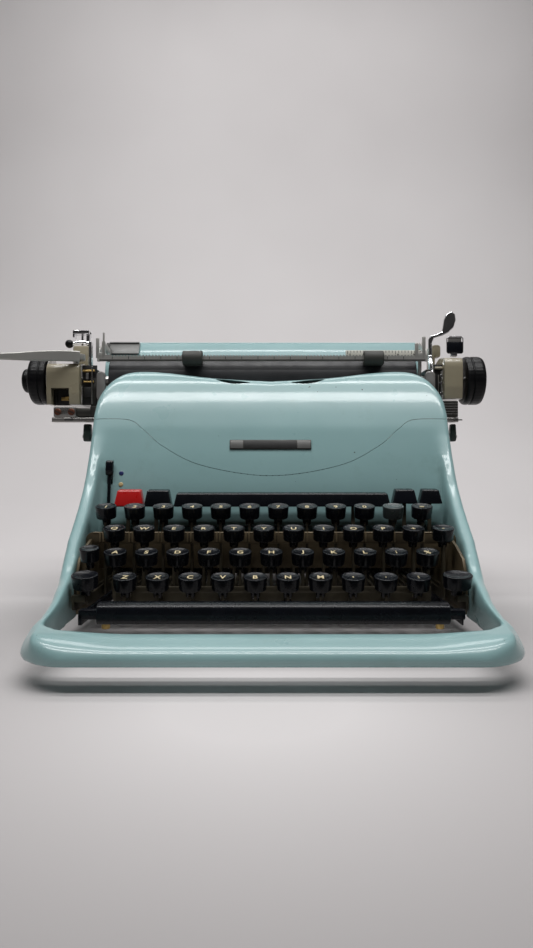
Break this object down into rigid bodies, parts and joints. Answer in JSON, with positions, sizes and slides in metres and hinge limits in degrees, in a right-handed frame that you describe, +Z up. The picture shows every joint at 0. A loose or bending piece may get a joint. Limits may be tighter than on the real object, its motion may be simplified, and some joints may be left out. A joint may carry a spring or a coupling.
{
  "type": "typewriter",
  "caption": "Manual office typewriter: sculpted enamelled body with a front rail, round-capped keys, and a travelling carriage with platen, knobs and chrome levers.",
  "frame": {"origin": "middle of the base of the whole machine's bounding box, on the table", "axes": "+X to the typist's right along the carriage, +Y away from the typist, +Z up"},
  "size_m": [0.4374, 0.3704, 0.2365],
  "materials": {
    "paint": "satin grey-blue enamel, slightly mottled",
    "key_black": "glossy black bakelite",
    "key_red": "glossy red",
    "knob_black": "polished black bakelite",
    "bronze": "dull bronze-coloured lacquer",
    "beige": "satin beige enamel",
    "steel": "brushed",
    "bright": "polished chrome",
    "platen_rubber": "matt hard rubber",
    "foot_rubber": "matt",
    "dark_green": "dark green-black enamel",
    "scale_white": "cream enamel"
  },
  "bodies": {
    "machine_body": {"body_shell": "paint", "keyboard_frame": "bronze", "key_comb": "bronze", "key_pivot_shaft": "steel", "carriage_bed": "steel", "foot_front_left": "foot_rubber", "foot_front_right": "foot_rubber", "foot_rear_left": "foot_rubber", "foot_rear_right": "foot_rubber"},
    "cover": {"ribbon_cover": "paint", "name_badge": "steel"},
    "number_keys": {"keys_row_numbers": "key_black"},
    "upper_keys": {"keys_row_upper": "key_black"},
    "home_keys": {"keys_row_home": "key_black"},
    "front_key_1": {"key_front_1": "key_black"},
    "front_key_2": {"key_front_2": "key_black"},
    "front_key_3": {"key_front_3": "key_black"},
    "front_key_4": {"key_front_4": "key_black"},
    "front_key_5": {"key_front_5": "key_black"},
    "front_key_6": {"key_front_6": "key_black"},
    "front_key_7": {"key_front_7": "key_black"},
    "front_key_8": {"key_front_8": "key_black"},
    "front_key_9": {"key_front_9": "key_black"},
    "front_key_10": {"key_front_10": "key_black"},
    "shift_left": {"shift_key_left": "key_black"},
    "shift_right": {"shift_key_right": "key_black"},
    "shift_lock": {"shift_lock_key": "key_black"},
    "spacer": {"space_bar": "key_black"},
    "margin_release": {"margin_release_key": "key_red"},
    "backspace": {"backspace_key": "key_black"},
    "tabulator": {"tabulator_bar": "key_black"},
    "tab_clear": {"tab_clear_key": "key_black"},
    "tab_set": {"tab_set_key": "key_black"},
    "type_basket": {"type_segment": "steel", "type_bars": "steel"},
    "spool_left": {"ribbon_spool_left": "steel"},
    "spool_right": {"ribbon_spool_right": "steel"},
    "selector": {"ribbon_selector": "knob_black"},
    "mainspring": {"mainspring_drum": "steel"},
    "latch_l": {"latch_left": "dark_green"},
    "latch_r": {"latch_right": "dark_green"},
    "carriage": {"carriage_rail": "steel", "carriage_frame": "steel", "carriage_end_left": "beige", "carriage_end_right": "beige", "paper_table": "paint", "margin_scale": "scale_white"},
    "platen": {"platen_core": "steel", "platen_rubber": "platen_rubber", "knob_left": "knob_black", "knob_right": "knob_black"},
    "clutch": {"clutch_button": "knob_black"},
    "return_arm": {"return_lever": "bright"},
    "line_space": {"line_space_lever": "bright"},
    "paper_release": {"paper_release_lever": "bright"},
    "carriage_release": {"carriage_release_key": "key_black"},
    "guide": {"paper_guide": "steel"},
    "bail": {"paper_bail": "bright"},
    "roller_left": {"bail_roller_left": "platen_rubber"},
    "roller_right": {"bail_roller_right": "platen_rubber"}
  },
  "joints": [
    {"name": "cover_slide", "type": "slide", "parent": "machine_body", "child": "cover", "axis": [0, -0.995, 0.0998], "range_m": [0, 0.06]},
    {"name": "number_row_press", "type": "hinge", "parent": "machine_body", "child": "number_keys", "pos_m": [0.0437, 0.11325, 0.03], "axis": [1, 0, 0], "range_deg": [0, 2.4], "stiffness_Nm_per_rad": 1, "springref_deg": -6.88},
    {"name": "upper_row_press", "type": "hinge", "parent": "machine_body", "child": "upper_keys", "pos_m": [0.0437, 0.11325, 0.03], "axis": [1, 0, 0], "range_deg": [0, 2.6], "stiffness_Nm_per_rad": 1, "springref_deg": -6.88},
    {"name": "home_row_press", "type": "hinge", "parent": "machine_body", "child": "home_keys", "pos_m": [0.0437, 0.11325, 0.03], "axis": [1, 0, 0], "range_deg": [0, 2.6], "stiffness_Nm_per_rad": 1, "springref_deg": -6.88},
    {"name": "front_key_1_press", "type": "hinge", "parent": "machine_body", "child": "front_key_1", "pos_m": [0.0437, 0.11325, 0.03], "axis": [1, 0, 0], "range_deg": [0, 2.6], "stiffness_Nm_per_rad": 0.1, "springref_deg": -6.88},
    {"name": "front_key_2_press", "type": "hinge", "parent": "machine_body", "child": "front_key_2", "pos_m": [0.0437, 0.11325, 0.03], "axis": [1, 0, 0], "range_deg": [0, 2.6], "stiffness_Nm_per_rad": 0.1, "springref_deg": -6.88},
    {"name": "front_key_3_press", "type": "hinge", "parent": "machine_body", "child": "front_key_3", "pos_m": [0.0437, 0.11325, 0.03], "axis": [1, 0, 0], "range_deg": [0, 2.6], "stiffness_Nm_per_rad": 0.1, "springref_deg": -6.88},
    {"name": "front_key_4_press", "type": "hinge", "parent": "machine_body", "child": "front_key_4", "pos_m": [0.0437, 0.11325, 0.03], "axis": [1, 0, 0], "range_deg": [0, 2.6], "stiffness_Nm_per_rad": 0.1, "springref_deg": -6.88},
    {"name": "front_key_5_press", "type": "hinge", "parent": "machine_body", "child": "front_key_5", "pos_m": [0.0437, 0.11325, 0.03], "axis": [1, 0, 0], "range_deg": [0, 2.6], "stiffness_Nm_per_rad": 0.1, "springref_deg": -6.88},
    {"name": "front_key_6_press", "type": "hinge", "parent": "machine_body", "child": "front_key_6", "pos_m": [0.0437, 0.11325, 0.03], "axis": [1, 0, 0], "range_deg": [0, 2.6], "stiffness_Nm_per_rad": 0.1, "springref_deg": -6.88},
    {"name": "front_key_7_press", "type": "hinge", "parent": "machine_body", "child": "front_key_7", "pos_m": [0.0437, 0.11325, 0.03], "axis": [1, 0, 0], "range_deg": [0, 2.6], "stiffness_Nm_per_rad": 0.1, "springref_deg": -6.88},
    {"name": "front_key_8_press", "type": "hinge", "parent": "machine_body", "child": "front_key_8", "pos_m": [0.0437, 0.11325, 0.03], "axis": [1, 0, 0], "range_deg": [0, 2.6], "stiffness_Nm_per_rad": 0.1, "springref_deg": -6.88},
    {"name": "front_key_9_press", "type": "hinge", "parent": "machine_body", "child": "front_key_9", "pos_m": [0.0437, 0.11325, 0.03], "axis": [1, 0, 0], "range_deg": [0, 2.6], "stiffness_Nm_per_rad": 0.1, "springref_deg": -6.88},
    {"name": "front_key_10_press", "type": "hinge", "parent": "machine_body", "child": "front_key_10", "pos_m": [0.0437, 0.11325, 0.03], "axis": [1, 0, 0], "range_deg": [0, 2.6], "stiffness_Nm_per_rad": 0.1, "springref_deg": -6.88},
    {"name": "type_basket_shift", "type": "slide", "parent": "machine_body", "child": "type_basket", "axis": [0, 0, -1], "range_m": [0, 0.006], "stiffness_N_per_m": 600, "springref_m": -0.012},
    {"name": "shift_left_press", "type": "hinge", "parent": "machine_body", "child": "shift_left", "pos_m": [0.0437, 0.11325, 0.03], "axis": [1, 0, 0], "range_deg": [0, 2.1]},
    {"name": "shift_right_press", "type": "hinge", "parent": "machine_body", "child": "shift_right", "pos_m": [0.0437, 0.11325, 0.03], "axis": [1, 0, 0], "range_deg": [0, 2.1]},
    {"name": "shift_lock_press", "type": "hinge", "parent": "machine_body", "child": "shift_lock", "pos_m": [0.0437, 0.11325, 0.03], "axis": [1, 0, 0], "range_deg": [0, 2.6], "stiffness_Nm_per_rad": 0.1, "springref_deg": -6.88},
    {"name": "space_bar_press", "type": "hinge", "parent": "machine_body", "child": "spacer", "pos_m": [0.0437, 0.00125, 0.0225], "axis": [1, 0, 0], "range_deg": [0, 3.3], "stiffness_Nm_per_rad": 1, "springref_deg": -5.73},
    {"name": "margin_release_press", "type": "slide", "parent": "machine_body", "child": "margin_release", "axis": [0, 0, -1], "range_m": [0, 0.005], "stiffness_N_per_m": 100, "springref_m": -0.003},
    {"name": "backspace_press", "type": "slide", "parent": "machine_body", "child": "backspace", "axis": [0, 0, -1], "range_m": [0, 0.005], "stiffness_N_per_m": 100, "springref_m": -0.003},
    {"name": "tabulator_press", "type": "slide", "parent": "machine_body", "child": "tabulator", "axis": [0, 0, -1], "range_m": [0, 0.005], "stiffness_N_per_m": 250, "springref_m": -0.003},
    {"name": "tab_clear_press", "type": "slide", "parent": "machine_body", "child": "tab_clear", "axis": [0, 0, -1], "range_m": [0, 0.005], "stiffness_N_per_m": 100, "springref_m": -0.003},
    {"name": "tab_set_press", "type": "slide", "parent": "machine_body", "child": "tab_set", "axis": [0, 0, -1], "range_m": [0, 0.005], "stiffness_N_per_m": 100, "springref_m": -0.003},
    {"name": "spool_left_spin", "type": "hinge", "parent": "machine_body", "child": "spool_left", "pos_m": [-0.0603, 0.04325, 0.12], "axis": [0, 0, 1], "continuous": true},
    {"name": "spool_right_spin", "type": "hinge", "parent": "machine_body", "child": "spool_right", "pos_m": [0.1477, 0.04325, 0.12], "axis": [0, 0, 1], "continuous": true},
    {"name": "ribbon_selector_slide", "type": "slide", "parent": "machine_body", "child": "selector", "axis": [0, 0.2721, 0.9623], "range_m": [-0.006, 0]},
    {"name": "mainspring_turn", "type": "hinge", "parent": "machine_body", "child": "mainspring", "pos_m": [-0.0163, 0.15125, 0.104], "axis": [0, 1, 0], "range_deg": [-245, 245]},
    {"name": "latch_left_turn", "type": "hinge", "parent": "machine_body", "child": "latch_l", "pos_m": [-0.0943, 0.05525, 0.132], "axis": [1, 0, 0], "range_deg": [-12, 12]},
    {"name": "latch_right_turn", "type": "hinge", "parent": "machine_body", "child": "latch_r", "pos_m": [0.1817, 0.05525, 0.132], "axis": [1, 0, 0], "range_deg": [-12, 12]},
    {"name": "carriage_travel", "type": "slide", "parent": "machine_body", "child": "carriage", "axis": [1, 0, 0], "range_m": [-0.105, 0.105]},
    {"name": "platen_spin", "type": "hinge", "parent": "carriage", "child": "platen", "pos_m": [0.0437, 0.06525, 0.178], "axis": [1, 0, 0], "continuous": true},
    {"name": "clutch_press", "type": "slide", "parent": "platen", "child": "clutch", "axis": [1, 0, 0], "range_m": [0, 0.002], "stiffness_N_per_m": 200, "springref_m": -0.002},
    {"name": "return_lever_swing", "type": "hinge", "parent": "carriage", "child": "return_arm", "pos_m": [-0.1083, 0.05325, 0.194], "axis": [0, 0, 1], "range_deg": [0, 35], "stiffness_Nm_per_rad": 0.05, "springref_deg": -17.19},
    {"name": "line_space_set", "type": "hinge", "parent": "carriage", "child": "line_space", "pos_m": [-0.0983, 0.06525, 0.178], "axis": [1, 0, 0], "range_deg": [-12, 6]},
    {"name": "paper_release_pull", "type": "hinge", "parent": "carriage", "child": "paper_release", "pos_m": [0.1787, 0.06525, 0.178], "axis": [1, 0, 0], "range_deg": [0, 20]},
    {"name": "carriage_release_press", "type": "hinge", "parent": "carriage", "child": "carriage_release", "pos_m": [0.1937, 0.05275, 0.1965], "axis": [-1, 0, 0], "range_deg": [0, 12], "stiffness_Nm_per_rad": 0.02, "springref_deg": -14.32},
    {"name": "paper_guide_slide", "type": "slide", "parent": "carriage", "child": "guide", "axis": [1, 0, 0], "range_m": [0, 0.12]},
    {"name": "paper_bail_lift", "type": "hinge", "parent": "carriage", "child": "bail", "pos_m": [0.0437, 0.08125, 0.203], "axis": [1, 0, 0], "range_deg": [-60, 0]},
    {"name": "roller_left_spin", "type": "hinge", "parent": "bail", "child": "roller_left", "pos_m": [-0.0143, 0.04325, 0.193], "axis": [1, 0, 0], "continuous": true},
    {"name": "roller_right_spin", "type": "hinge", "parent": "bail", "child": "roller_right", "pos_m": [0.1277, 0.04325, 0.193], "axis": [1, 0, 0], "continuous": true}
  ],
  "couplings": [
    {"joint": "shift_left_press", "follows": "type_basket_shift", "rad_per_m": 6},
    {"joint": "shift_right_press", "follows": "type_basket_shift", "rad_per_m": 6},
    {"joint": "spool_right_spin", "follows": "spool_left_spin", "ratio": 1},
    {"joint": "mainspring_turn", "follows": "carriage_travel", "rad_per_m": -40}
  ]
}
